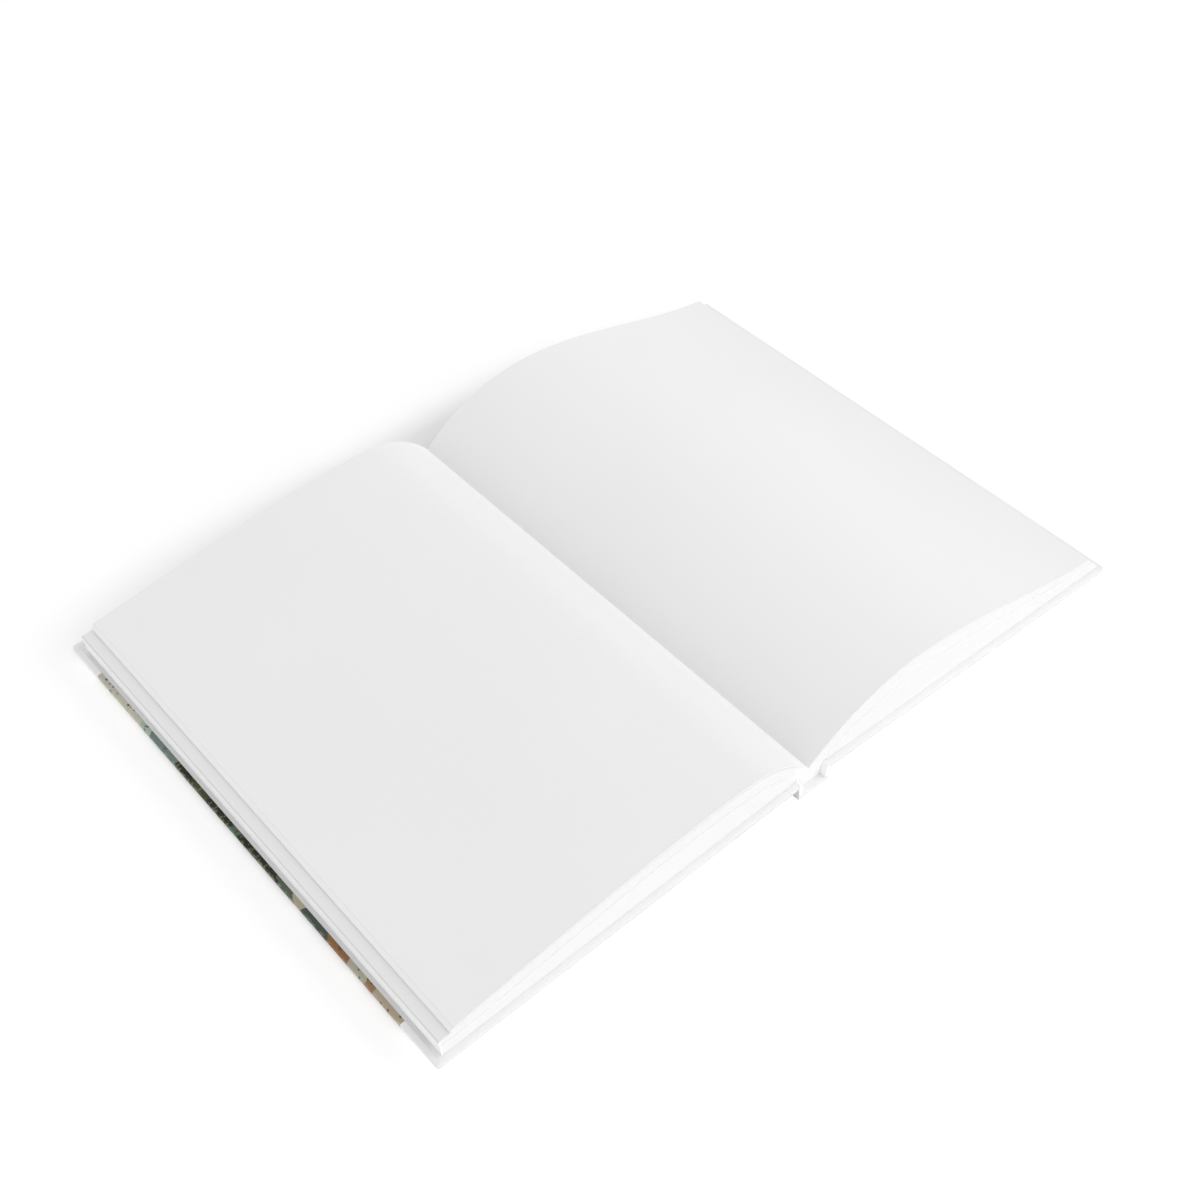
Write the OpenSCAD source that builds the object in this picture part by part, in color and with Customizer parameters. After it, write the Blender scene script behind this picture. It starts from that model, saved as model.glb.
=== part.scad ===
// Opened hard-cover journal lying flat on its covers, sizes in millimetres
// X runs across the book, Y along the spine with the head at +Y, Z up
// The origin is on the floor under the middle of the spine strip

/* [Case] */
// Height of the covers along the spine
cover_h = 203.2; // [150:0.1:260]
// Width of one cover from its joint to its fore edge
cover_w = 139.05; // [110:0.05:200]
// Width of the spine strip
spine_w = 13; // [12:0.1:24]
// Thickness of the cover boards and of the spine strip
board_t = 1.6; // [1:0.1:2.4]
// Thickness of the covering sheet
wrap_t = 0.2; // [0.15:0.01:0.3]
// Width of the covering sheet turned in over the boards
turn_in = 15; // [8:0.5:20]
// Radius of the covers' outer corners
corner_r = 1; // [0.6:0.1:2.5]
// Thickness of the sheet pasted inside each cover
pastedown_t = 0.15; // [0.1:0.01:0.25]
// Turned-in edge left uncovered round the pasted sheet
pastedown_inset = 1.75; // [1:0.05:4]
// Height of the covers' joints above the floor
joint_rise = 5.63; // [4.5:0.01:8]
// Outward lean of each joint wall over its height
joint_lean = 0.45; // [0.3:0.01:1]
// Thickness of each joint wall, sheet and lining together
joint_wall_t = 0.4; // [0.3:0.01:0.8]
// Gap between each joint wall and the cover's joint edge
joint_gap = 0.1; // [0.05:0.01:0.15]

/* [Page block] */
// Space between the page block and the cover's tail edge
tail_square = 2.33; // [1:0.01:6]
// Space between the page block and the cover's head edge
head_square = 5.35; // [1:0.01:8]
// Space between the left half's foot and its cover's fore edge
left_fore_square = 3.05; // [1:0.01:6]
// Space between the right half's foot and its cover's fore edge
right_fore_square = 1.75; // [1:0.01:6]
// Width of the glued spine standing on the strip
stalk_w = 6.2; // [5:0.1:7]
// Sideways shift of the glued spine from the middle of the strip
stalk_shift = 0.2; // [-0.4:0.1:0.4]
// Position of the gutter's lowest line across the book
gutter_x = -0.96; // [-2:0.01:0]
// Height of the gutter's lowest line
gutter_z = 9.54; // [9.3:0.01:11.5]
// Number of straight steps in each half of a page curve
curve_steps = 14; // [8:1:20]

/* [Left half] */
// Distance of the left crest from the middle of the strip
left_crest_x = 28; // [24:0.1:40]
// Height of the left crest
left_crest_z = 23.7; // [21:0.1:30]
// Slope of the left page as it rises out of the gutter
left_gutter_slope = 1.25; // [0.9:0.01:1.4]
// Thickness of the left half at its fore edge
left_edge_t = 9.5; // [8.5:0.1:11]
// Slope of the left page down to its fore edge
left_edge_slope = 0.155; // [0.05:0.005:0.2]
// Thickness of the wider lower group at the left fore edge
left_lower_t = 7.15; // [6:0.05:7.5]
// Lean of the lower group's fore edge
left_lower_lean = 0.5; // [0:0.05:1.5]
// Width of the ledge where the upper group sits back
left_ledge_w = 3.9; // [1:0.1:5]
// Lean of the upper group's fore edge
left_upper_lean = 1.6; // [0.5:0.1:3]
// Slope between the top page and the underside of its group at the gutter
left_wedge = 0.45; // [0.3:0.01:0.6]
// Thickness of the loose top group at the left crest
left_top_group_t = 2.75; // [1.5:0.05:3.5]
// Height of the lowest left group's top under the crest
left_low_group_z = 17; // [15:0.1:18]

/* [Right half] */
// Distance of the right crest from the middle of the strip
right_crest_x = 46; // [36:0.1:60]
// Height of the right crest
right_crest_z = 27.8; // [25:0.1:34]
// Slope of the right page as it rises out of the gutter
right_gutter_slope = 0.8; // [0.6:0.01:1]
// Thickness of the right half at its fore edge
right_edge_t = 7.9; // [6:0.1:9.5]
// Slope of the right page down to its fore edge
right_edge_slope = 0.1; // [0.05:0.005:0.2]
// Lean of the right half's fore edge
right_edge_lean = 7.9; // [2:0.1:10]
// Slope between the top page and the underside of its group at the gutter
right_wedge = 0.25; // [0.15:0.01:0.4]
// Thickness of the loose top group at the right crest
right_top_group_t = 3.3; // [2:0.05:4]
// Height of the lowest right group's top under the crest
right_low_group_z = 19.4; // [17:0.1:21]

/* [Groups] */
// Length by which a group of sheets stands out at head and tail
group_step = 0.25; // [0.1:0.05:0.6]
// Thickness of the top group where it thins out at the fore edge
group_edge_t = 1.6; // [1:0.05:2]
// Thickness of the lowest groups at the fore edges
low_edge_t = 4.6; // [3:0.1:5]
// Distance of the lowest left group's highest line outward of the left crest
low_crest_shift = 14; // [6:0.5:20]

/* [Hidden] */
$fn = 48;
cut = 1;
case_t = board_t + 2 * wrap_t;
inner_t = case_t + pastedown_t;
hinge_x = spine_w / 2 + joint_lean;
tilt = asin(joint_rise / cover_w);
reach = hinge_x + cover_w * cos(tilt);
page_h = cover_h - tail_square - head_square;
tail_y = tail_square - cover_h / 2;
left_foot_x = reach - left_fore_square;
left_ledge_x = left_foot_x + left_lower_lean - left_ledge_w;
left_edge_x = left_ledge_x - left_upper_lean;
right_foot_x = reach - right_fore_square;
right_edge_x = right_foot_x - right_edge_lean;
stalk_half = stalk_w / 2;

// Height of the inside of a tilted cover at a distance from the strip's middle
function rest_z(x) = (reach - x) * tan(tilt) + inner_t / cos(tilt);

// Cubic curve between two points [x, z, slope] with steps that end on both
function bend(a, b) = [
    for (i = [0 : curve_steps])
        let (t = i / curve_steps, w = b[0] - a[0])
        [
            a[0] + w * t,
            (2 * t ^ 3 - 3 * t ^ 2 + 1) * a[1] + (3 * t ^ 2 - 2 * t ^ 3) * b[1]
                + w * ((t ^ 3 - 2 * t ^ 2 + t) * a[2] + (t ^ 3 - t ^ 2) * b[2])
        ]
];

// The same curve without its first point
function bend_on(a, b) = [for (i = [1 : curve_steps]) bend(a, b)[i]];

// Page line from near the gutter over the crest to the fore edge
function arch(inner, crest, outer) = concat(bend(inner, crest), bend_on(crest, outer));

function mirrored(points) = [for (p = points) [-p[0], p[1]]];

// Points in the other order, without those before a first one
function reversed(points, first = 0) = [for (i = [len(points) - 1 : -1 : first]) points[i]];

left_gutter = [-gutter_x, gutter_z, left_gutter_slope];
left_crest = [left_crest_x, left_crest_z, 0];
left_edge = [left_edge_x, rest_z(left_edge_x) + left_edge_t, -left_edge_slope];
right_gutter = [gutter_x, gutter_z, right_gutter_slope];
right_crest = [right_crest_x, right_crest_z, 0];
right_edge = [right_edge_x, rest_z(right_edge_x) + right_edge_t, -right_edge_slope];

left_top = arch(left_gutter, left_crest, left_edge);
right_top = arch(right_gutter, right_crest, right_edge);

// Underside of one half from the strip up past the cover's joint edge to the foot
function underside(shift, foot_x) = [
    [stalk_half + shift, case_t],
    [stalk_half + shift + 0.3, joint_rise],
    [hinge_x - 2.4, rest_z(hinge_x) - 0.3],
    [hinge_x - 0.9, rest_z(hinge_x) + 0.2],
    [hinge_x + 1.5, rest_z(hinge_x + 1.5)],
    [foot_x, rest_z(foot_x)]
];

// Its last points, where the lowest groups begin
function low_start(shift, foot_x) = [for (i = [2 : 5]) underside(shift, foot_x)[i]];

low_inner = [hinge_x - 2.3, rest_z(hinge_x) + 0.8, 0.55];

left_outline = concat(
    underside(-stalk_shift, left_foot_x),
    [
        [left_foot_x + left_lower_lean, rest_z(left_foot_x) + left_lower_t],
        [left_ledge_x, rest_z(left_ledge_x) + left_lower_t - 0.1]
    ],
    reversed(left_top)
);
right_outline = concat(underside(stalk_shift, right_foot_x), reversed(right_top, 1));

// Group of sheets under a page line, which stands out a little at head and tail
function top_group(top, slope, crest, outer) = concat(
    reversed(top, 2),
    arch([top[1][0], top[1][1], slope], crest, outer)
);

left_top_group = top_group(
    left_top,
    left_gutter_slope - left_wedge,
    left_crest - [0, left_top_group_t, 0],
    left_edge - [0, group_edge_t, 0]
);
right_top_group = top_group(
    right_top,
    right_gutter_slope - right_wedge,
    right_crest - [0, right_top_group_t, 0],
    right_edge - [0, group_edge_t, 0]
);

// Group of sheets that lies on a cover
left_low_group = concat(
    low_start(-stalk_shift, left_foot_x),
    reversed(arch(
        low_inner,
        [left_crest_x + low_crest_shift, left_low_group_z, 0],
        [left_foot_x, rest_z(left_foot_x) + low_edge_t, -0.05]
    ))
);
right_low_group = concat(
    low_start(stalk_shift, right_foot_x),
    reversed(arch(
        low_inner,
        [right_crest_x, right_low_group_z, 0],
        [right_foot_x - right_edge_lean * low_edge_t / right_edge_t, rest_z(right_foot_x) + low_edge_t, -0.05]
    ))
);

// Prism of an outline drawn across the book, longer than the sheets at both ends by an amount
module sheets(points, longer) {
    translate([0, tail_y - longer, 0])
        rotate([90, 0, 0])
            mirror([0, 0, 1])
                linear_extrude(height = page_h + 2 * longer)
                    polygon(points);
}

// Flat plate with its joint edge at x 0 and rounded corners at the far end
module plate(w, h, r, t) {
    linear_extrude(height = t) {
        translate([0, -h / 2])
            square([w - r, h]);
        translate([0, r - h / 2])
            square([w, h - 2 * r]);
        for (side = [-1, 1])
            translate([w - r, side * (h / 2 - r)])
                circle(r = r);
    }
}

// Places a flat piece on the right, leaning from its joint down to the floor
module on_right() {
    translate([hinge_x, 0, joint_rise])
        rotate([0, tilt, 0])
            children();
}

module on_left() {
    mirror([1, 0, 0])
        on_right()
            children();
}

module board_piece() {
    translate([0, 0, wrap_t])
        plate(cover_w - wrap_t, cover_h - 2 * wrap_t, corner_r - wrap_t, board_t);
}

module wrap_piece() {
    difference() {
        plate(cover_w, cover_h, corner_r, case_t);
        translate([-cut, 0, wrap_t])
            plate(cover_w - wrap_t + cut, cover_h - 2 * wrap_t, corner_r - wrap_t, board_t);
        translate([-cut, turn_in - cover_h / 2, wrap_t + board_t / 2])
            cube([cover_w - turn_in + cut, cover_h - 2 * turn_in, case_t]);
    }
}

module pastedown_piece() {
    translate([0, pastedown_inset - cover_h / 2, case_t])
        cube([cover_w - pastedown_inset, cover_h - 2 * pastedown_inset, pastedown_t]);
    translate([0, turn_in - cover_h / 2, case_t - wrap_t])
        cube([cover_w - turn_in, cover_h - 2 * turn_in, wrap_t + pastedown_t]);
}

module joint_wall() {
    rotate([90, 0, 0])
        linear_extrude(height = cover_h, center = true)
            polygon([
                [spine_w / 2, 0],
                [hinge_x - joint_gap, joint_rise - joint_gap],
                [hinge_x - joint_gap - joint_wall_t, joint_rise - joint_gap],
                [spine_w / 2 - joint_wall_t, 0]
            ]);
}

module front_board() {
    color([0.63, 0.59, 0.53])
        on_left()
            board_piece();
}

module back_board() {
    color([0.63, 0.59, 0.53])
        on_right()
            board_piece();
}

module spine_board() {
    color([0.63, 0.59, 0.53])
        translate([joint_wall_t - spine_w / 2, wrap_t - cover_h / 2, wrap_t])
            cube([spine_w - 2 * joint_wall_t, cover_h - 2 * wrap_t, board_t]);
}

module front_cover_wrap() {
    color([0.92, 0.92, 0.91])
        on_left()
            wrap_piece();
}

module back_cover_wrap() {
    color([0.92, 0.92, 0.91])
        on_right()
            wrap_piece();
}

module spine_wrap() {
    color([0.92, 0.92, 0.91]) {
        difference() {
            translate([joint_wall_t / 2 - spine_w / 2, -cover_h / 2, 0])
                cube([spine_w - joint_wall_t, cover_h, case_t]);
            translate([-spine_w, wrap_t - cover_h / 2, wrap_t])
                cube([2 * spine_w, cover_h - 2 * wrap_t, board_t]);
            translate([-spine_w, turn_in - cover_h / 2, wrap_t])
                cube([2 * spine_w, cover_h - 2 * turn_in, case_t]);
        }
        joint_wall();
        mirror([1, 0, 0])
            joint_wall();
    }
}

module front_pastedown() {
    color([0.95, 0.95, 0.94])
        on_left()
            pastedown_piece();
}

module back_pastedown() {
    color([0.95, 0.95, 0.94])
        on_right()
            pastedown_piece();
}

module pages() {
    color([0.96, 0.96, 0.94]) {
        sheets(concat(mirrored(left_outline), reversed(right_outline)), 0);
        sheets(mirrored(left_top_group), group_step);
        sheets(mirrored(left_low_group), group_step);
        sheets(right_top_group, group_step);
        sheets(right_low_group, group_step);
    }
}

front_board();
back_board();
spine_board();
front_cover_wrap();
back_cover_wrap();
spine_wrap();
front_pastedown();
back_pastedown();
pages();
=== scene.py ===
import math

import bmesh
import bpy
import numpy as np
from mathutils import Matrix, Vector


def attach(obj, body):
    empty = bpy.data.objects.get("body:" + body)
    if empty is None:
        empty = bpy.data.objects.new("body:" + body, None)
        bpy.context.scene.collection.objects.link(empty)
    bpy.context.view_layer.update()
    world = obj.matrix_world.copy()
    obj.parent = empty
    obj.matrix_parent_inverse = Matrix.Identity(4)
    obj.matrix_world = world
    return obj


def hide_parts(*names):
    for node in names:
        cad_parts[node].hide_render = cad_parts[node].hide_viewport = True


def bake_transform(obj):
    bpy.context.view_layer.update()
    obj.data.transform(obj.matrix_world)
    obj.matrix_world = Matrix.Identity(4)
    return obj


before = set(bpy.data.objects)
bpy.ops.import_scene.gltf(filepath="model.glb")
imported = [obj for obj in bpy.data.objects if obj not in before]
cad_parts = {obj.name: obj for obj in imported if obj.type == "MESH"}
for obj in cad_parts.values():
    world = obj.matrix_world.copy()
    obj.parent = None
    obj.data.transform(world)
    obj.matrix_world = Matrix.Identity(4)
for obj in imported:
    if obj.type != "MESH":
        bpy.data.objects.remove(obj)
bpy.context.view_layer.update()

MM = 0.001

# Sizes of the case in millimetres, as in the solid model
COVER_H = 203.2
COVER_W = 139.05
SPINE_W = 13.0
CASE_T = 2.0
SHEET_T = 0.2
TURN_IN = 15.0
CORNER_R = 1.0
PASTE_T = 0.15
PASTE_INSET = 1.75
RISE = 5.63
HINGE_X = SPINE_W / 2 + 0.45
TILT = math.asin(RISE / COVER_W)
REACH = HINGE_X + COVER_W * math.cos(TILT)
TAIL_Y = -COVER_H / 2 + 2.33
HEAD_Y = COVER_H / 2 - 5.35
PRINT_HALF = 84.3
STEPS = 72
FOLD_STEPS = 8
SHEET_SHARE = 0.995
SHEET_SPREAD = 0.02
FIRST_SEED = 11
LEFT_ROOT = 4.2
RIGHT_ROOT = 3.3
TOP_LIFT_REACH = 7.5

# Share of the print's length where its leaves start and end
GREEN_START = 0.365
GREEN_END = 0.715

# Where the left groups of sheets end, in metres
UPPER_EDGE_X = -0.1380
LOWER_EDGE_X = -0.1424
LEDGE_LOW_Z = 0.0092
LEDGE_HIGH_Z = 0.0100

# Light and camera, in metres and degrees
SKY_LEVEL = 1.47
SKY_SLOPE = (0.10, -0.19, -0.93)
FLOOR_LIFT = 0.175
KEY_PLACE = (0.9, -0.9, 1.3)
KEY_SIZE = 1.4
KEY_ENERGY = 6.0
CAMERA_PLACE = (-0.2559, -0.2964, 0.4169)
CAMERA_PITCH = 43.546
CAMERA_TURN = -40.80


def rest_z(x):
    """Height of a paste-down's face above the floor at x, in millimetres."""
    return (REACH - x) * math.tan(TILT) + (CASE_T + PASTE_T) / math.cos(TILT)


# Meshes

def new_object(name, points, faces, scale=MM):
    mesh = bpy.data.meshes.new(name)
    mesh.from_pydata([tuple(c * scale for c in p) for p in points], [], faces)
    tidy(mesh)
    obj = bpy.data.objects.new(name, mesh)
    bpy.context.scene.collection.objects.link(obj)
    return obj


def tidy(mesh, merge=1e-7):
    bm = bmesh.new()
    bm.from_mesh(mesh)
    bmesh.ops.remove_doubles(bm, verts=bm.verts, dist=merge)
    bmesh.ops.dissolve_degenerate(bm, edges=bm.edges, dist=1e-8)
    bmesh.ops.recalc_face_normals(bm, faces=bm.faces)
    bm.to_mesh(mesh)
    bm.free()
    mesh.update()


def smooth(obj, degrees=35.0):
    obj.data.shade_smooth()
    obj.data.set_sharp_from_angle(angle=math.radians(degrees))


def baked(obj, name):
    """The evaluated mesh as a plain object, in place of the one with modifiers."""
    bpy.context.view_layer.update()
    graph = bpy.context.evaluated_depsgraph_get()
    mesh = bpy.data.meshes.new_from_object(obj.evaluated_get(graph))
    mesh.name = name
    bpy.data.objects.remove(obj)
    made = bpy.data.objects.new(name, mesh)
    bpy.context.scene.collection.objects.link(made)
    return made


def thicken(obj, thickness, offset):
    """The sheet as a closed solid, with the thickness in millimetres."""
    solid = obj.modifiers.new("thickness", "SOLIDIFY")
    solid.thickness = thickness * MM
    solid.offset = offset
    solid.use_even_offset = True
    made = baked(obj, obj.name + "_made")
    tidy(made.data)
    return made


def placed(side, u, y, h):
    """Point on a cover: u from its joint to its fore edge, h above its outer face."""
    x = HINGE_X + u * math.cos(TILT) + h * math.sin(TILT)
    z = RISE - u * math.sin(TILT) + h * math.cos(TILT)
    return (side * x, y, z)


# Shader helpers

def new_material(name):
    material = bpy.data.materials.new(name)
    material.use_nodes = True
    tree = material.node_tree
    tree.nodes.clear()
    out = tree.nodes.new("ShaderNodeOutputMaterial")
    shader = tree.nodes.new("ShaderNodeBsdfPrincipled")
    tree.links.new(shader.outputs["BSDF"], out.inputs["Surface"])
    return material, tree, shader


def node(tree, kind, values=None, **settings):
    made = tree.nodes.new(kind)
    for key, value in settings.items():
        setattr(made, key, value)
    for key, value in (values or {}).items():
        if hasattr(value, "is_output"):
            tree.links.new(value, made.inputs[key])
        else:
            made.inputs[key].default_value = value
    return made


def math_node(tree, operation, a, b=None, c=None, clamp=False):
    values = {0: a}
    if b is not None:
        values[1] = b
    if c is not None:
        values[2] = c
    return node(tree, "ShaderNodeMath", values, operation=operation, use_clamp=clamp).outputs[0]


def mix_colour(tree, factor, a, b, blend="MIX"):
    made = node(tree, "ShaderNodeMix", {0: factor, 6: a, 7: b}, data_type="RGBA", blend_type=blend)
    return made.outputs[2]


def step_between(tree, value, low, high):
    """Smooth step from 0 at low to 1 at high; low may be the larger value."""
    made = node(
        tree,
        "ShaderNodeMapRange",
        {"Value": value, "From Min": low, "From Max": high, "To Min": 0.0, "To Max": 1.0},
        interpolation_type="SMOOTHSTEP",
    )
    return made.outputs[0]


def shader_group(name, inputs, outputs):
    group = bpy.data.node_groups.new(name, "ShaderNodeTree")
    for label, kind, default in inputs:
        socket = group.interface.new_socket(label, in_out="INPUT", socket_type=kind)
        socket.default_value = default
    for label, kind in outputs:
        group.interface.new_socket(label, in_out="OUTPUT", socket_type=kind)
    return group, group.nodes.new("NodeGroupInput"), group.nodes.new("NodeGroupOutput")


def use_group(tree, group, values=None):
    made = tree.nodes.new("ShaderNodeGroup")
    made.node_tree = group
    for key, value in (values or {}).items():
        if hasattr(value, "is_output"):
            tree.links.new(value, made.inputs[key])
        else:
            made.inputs[key].default_value = value
    return made


# Effect groups shared by the materials

def paper_effect():
    group, inp, out = shader_group(
        "paper_fibre",
        [("Fibre Scale", "NodeSocketFloat", 2600.0), ("Cloud Scale", "NodeSocketFloat", 14.0)],
        [("Tone", "NodeSocketFloat"), ("Height", "NodeSocketFloat")],
    )
    place = node(group, "ShaderNodeTexCoord").outputs["Object"]
    fibre = node(
        group,
        "ShaderNodeTexNoise",
        {
            "Vector": place,
            "Scale": inp.outputs["Fibre Scale"],
            "Detail": 3.0,
            "Roughness": 0.6,
            "Distortion": 0.4,
        },
    )
    cloud = node(
        group,
        "ShaderNodeTexNoise",
        {"Vector": place, "Scale": inp.outputs["Cloud Scale"], "Detail": 2.0, "Roughness": 0.5},
    )
    fine = math_node(group, "MULTIPLY", fibre.outputs[0], 0.35)
    broad = math_node(group, "MULTIPLY", cloud.outputs[0], 0.65)
    tone = math_node(group, "ADD", fine, broad)
    group.links.new(tone, out.inputs["Tone"])
    group.links.new(fibre.outputs[0], out.inputs["Height"])
    return group


def wear_effect():
    group, inp, out = shader_group(
        "edge_wear",
        [
            ("Half Across", "NodeSocketFloat", 0.14),
            ("Half Along", "NodeSocketFloat", 0.1),
            ("Width", "NodeSocketFloat", 0.001),
        ],
        [("Wear", "NodeSocketFloat")],
    )
    place = node(group, "ShaderNodeTexCoord").outputs["Object"]
    parts = node(group, "ShaderNodeSeparateXYZ", {0: place})
    across = math_node(group, "ABSOLUTE", parts.outputs["X"])
    along = math_node(group, "ABSOLUTE", parts.outputs["Y"])
    from_side = math_node(group, "SUBTRACT", inp.outputs["Half Across"], across)
    from_end = math_node(group, "SUBTRACT", inp.outputs["Half Along"], along)
    nearest = math_node(group, "MINIMUM", from_side, from_end)
    near = math_node(group, "DIVIDE", nearest, inp.outputs["Width"])
    edge = math_node(group, "SUBTRACT", 1.0, near, clamp=True)
    spots = node(
        group,
        "ShaderNodeTexNoise",
        {"Vector": place, "Scale": 420.0, "Detail": 3.0, "Roughness": 0.7},
    )
    patchy = step_between(group, spots.outputs[0], 0.45, 0.7)
    group.links.new(math_node(group, "MULTIPLY", edge, patchy), out.inputs["Wear"])
    return group


PAPER = paper_effect()
WEAR = wear_effect()


def bump(tree, shader, height, strength, distance):
    made = node(tree, "ShaderNodeBump", {"Strength": strength, "Distance": distance, "Height": height})
    tree.links.new(made.outputs["Normal"], shader.inputs["Normal"])


def page_material():
    material, tree, shader = new_material("page_paper")
    paper = use_group(tree, PAPER, {"Fibre Scale": 2400.0, "Cloud Scale": 16.0})
    wear = use_group(tree, WEAR, {"Half Across": 0.1435, "Half Along": 0.0985, "Width": 0.0016})
    tone = mix_colour(tree, paper.outputs["Tone"], (0.85, 0.85, 0.85, 1), (0.89, 0.89, 0.89, 1))
    aged = mix_colour(
        tree,
        math_node(tree, "MULTIPLY", wear.outputs["Wear"], 0.1),
        tone,
        (0.80, 0.795, 0.78, 1),
    )
    place = node(tree, "ShaderNodeTexCoord").outputs["Object"]
    parts = node(tree, "ShaderNodeSeparateXYZ", {0: place})
    # Painted light on the left page next to the fold, lifting the fold's shade
    inner = step_between(tree, parts.outputs["X"], -0.010, -0.0012)
    left_side = math_node(tree, "LESS_THAN", parts.outputs["X"], -0.0008)
    above = math_node(tree, "GREATER_THAN", parts.outputs["Z"], 0.0098)
    fold_light = math_node(tree, "MULTIPLY", inner, math_node(tree, "MULTIPLY", left_side, above))
    # Painted light on the left-facing cut edges of the upper and lower group on the left, and painted
    # shade on the ledge between them
    upper_edge = step_between(tree, parts.outputs["X"], UPPER_EDGE_X, UPPER_EDGE_X - 0.0004)
    lower_edge = step_between(tree, parts.outputs["X"], LOWER_EDGE_X, LOWER_EDGE_X - 0.0004)
    over_ledge = math_node(tree, "GREATER_THAN", parts.outputs["Z"], LEDGE_HIGH_Z)
    under_ledge = math_node(tree, "LESS_THAN", parts.outputs["Z"], LEDGE_LOW_Z)
    on_upper = math_node(tree, "MULTIPLY", upper_edge, over_ledge)
    upper_cut_light = math_node(tree, "MULTIPLY", on_upper, 0.5)
    on_lower = math_node(tree, "MULTIPLY", lower_edge, under_ledge)
    lower_cut_light = math_node(tree, "MULTIPLY", on_lower, 0.8)
    cut_edge_light = math_node(tree, "MAXIMUM", upper_cut_light, lower_cut_light)
    on_ledge = math_node(
        tree,
        "MULTIPLY",
        upper_edge,
        math_node(tree, "SUBTRACT", 1.0, math_node(tree, "MAXIMUM", over_ledge, under_ledge)),
    )
    # Painted light on the foot of the sheets over the strip, lifting the shade of the recess by the spine
    niche = step_between(tree, math_node(tree, "ABSOLUTE", parts.outputs["X"]), 0.009, 0.005)
    low = step_between(tree, parts.outputs["Z"], 0.0095, 0.0085)
    niche_light = math_node(tree, "MULTIPLY", niche, low)
    # Painted light: the three lightened areas mix toward white
    painted_light = math_node(tree, "MAXIMUM", fold_light, cut_edge_light)
    painted_light = math_node(tree, "MAXIMUM", painted_light, math_node(tree, "MULTIPLY", niche_light, 0.3))
    paper_with_painted_light = mix_colour(tree, painted_light, aged, (0.95, 0.95, 0.95, 1))
    # Painted shade on the ledge, where the upper group shades it
    ledge_shade_share = math_node(tree, "MULTIPLY", on_ledge, 0.4)
    ledge_shaded_paper = mix_colour(tree, ledge_shade_share, paper_with_painted_light, (0.76, 0.76, 0.76, 1))
    # Painted shadow line along the outer rim of the ledge
    ledge_rim_shadow = math_node(
        tree,
        "MULTIPLY",
        step_between(tree, parts.outputs["X"], -0.1429, -0.1431),
        step_between(tree, parts.outputs["Z"], 0.00925, 0.00935),
    )
    rim_shadow_share = math_node(tree, "MULTIPLY", ledge_rim_shadow, 0.8)
    shade = mix_colour(tree, rim_shadow_share, ledge_shaded_paper, (0.66, 0.66, 0.66, 1))
    tree.links.new(shade, shader.inputs["Base Color"])
    rough = math_node(tree, "MULTIPLY_ADD", paper.outputs["Tone"], 0.12, 0.78)
    tree.links.new(rough, shader.inputs["Roughness"])
    shader.inputs["Specular IOR Level"].default_value = 0.25
    bump(tree, shader, paper.outputs["Height"], 0.12, 0.00003)
    return material


def paste_material():
    material, tree, shader = new_material("paste_down_paper")
    paper = use_group(tree, PAPER, {"Fibre Scale": 1900.0, "Cloud Scale": 22.0})
    wear = use_group(tree, WEAR, {"Half Across": 0.1445, "Half Along": 0.1, "Width": 0.004})
    tone = mix_colour(tree, paper.outputs["Tone"], (0.80, 0.80, 0.80, 1), (0.86, 0.86, 0.86, 1))
    aged = mix_colour(
        tree,
        math_node(tree, "MULTIPLY", wear.outputs["Wear"], 0.35),
        tone,
        (0.72, 0.70, 0.66, 1),
    )
    place = node(tree, "ShaderNodeTexCoord").outputs["Object"]
    parts = node(tree, "ShaderNodeSeparateXYZ", {0: place})
    across = math_node(tree, "ABSOLUTE", parts.outputs["X"])
    along = math_node(tree, "ABSOLUTE", parts.outputs["Y"])
    # Painted shadow on the paste-down's rim under the sheets' overhang, fading out near head and tail
    paste_rim_shadow = math_node(
        tree,
        "MULTIPLY",
        step_between(tree, across, 0.1415, 0.1430),
        step_between(tree, along, 0.0975, 0.0925),
    )
    shade = mix_colour(tree, math_node(tree, "MULTIPLY", paste_rim_shadow, 0.7), aged, (0.64, 0.64, 0.64, 1))
    tree.links.new(shade, shader.inputs["Base Color"])
    shader.inputs["Roughness"].default_value = 0.82
    shader.inputs["Specular IOR Level"].default_value = 0.25
    bump(tree, shader, paper.outputs["Height"], 0.15, 0.00004)
    return material


def lining_material():
    material, tree, shader = new_material("joint_lining")
    paper = use_group(tree, PAPER, {"Fibre Scale": 1700.0, "Cloud Scale": 30.0})
    tone = mix_colour(tree, paper.outputs["Tone"], (0.92, 0.92, 0.92, 1), (0.95, 0.95, 0.95, 1))
    tree.links.new(tone, shader.inputs["Base Color"])
    shader.inputs["Roughness"].default_value = 0.7
    shader.inputs["Specular IOR Level"].default_value = 0.25
    bump(tree, shader, paper.outputs["Height"], 0.12, 0.00003)
    return material


def board_material():
    material, tree, shader = new_material("grey_board")
    paper = use_group(tree, PAPER, {"Fibre Scale": 900.0, "Cloud Scale": 30.0})
    place = node(tree, "ShaderNodeTexCoord").outputs["Object"]
    flecks = node(tree, "ShaderNodeTexVoronoi", {"Vector": place, "Scale": 700.0})
    dark = step_between(tree, flecks.outputs["Distance"], 0.22, 0.08)
    tone = mix_colour(tree, paper.outputs["Tone"], (0.34, 0.30, 0.25, 1), (0.45, 0.41, 0.35, 1))
    spotted = mix_colour(tree, math_node(tree, "MULTIPLY", dark, 0.5), tone, (0.16, 0.14, 0.12, 1))
    tree.links.new(spotted, shader.inputs["Base Color"])
    shader.inputs["Roughness"].default_value = 0.9
    bump(tree, shader, paper.outputs["Height"], 0.35, 0.0001)
    return material


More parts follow.
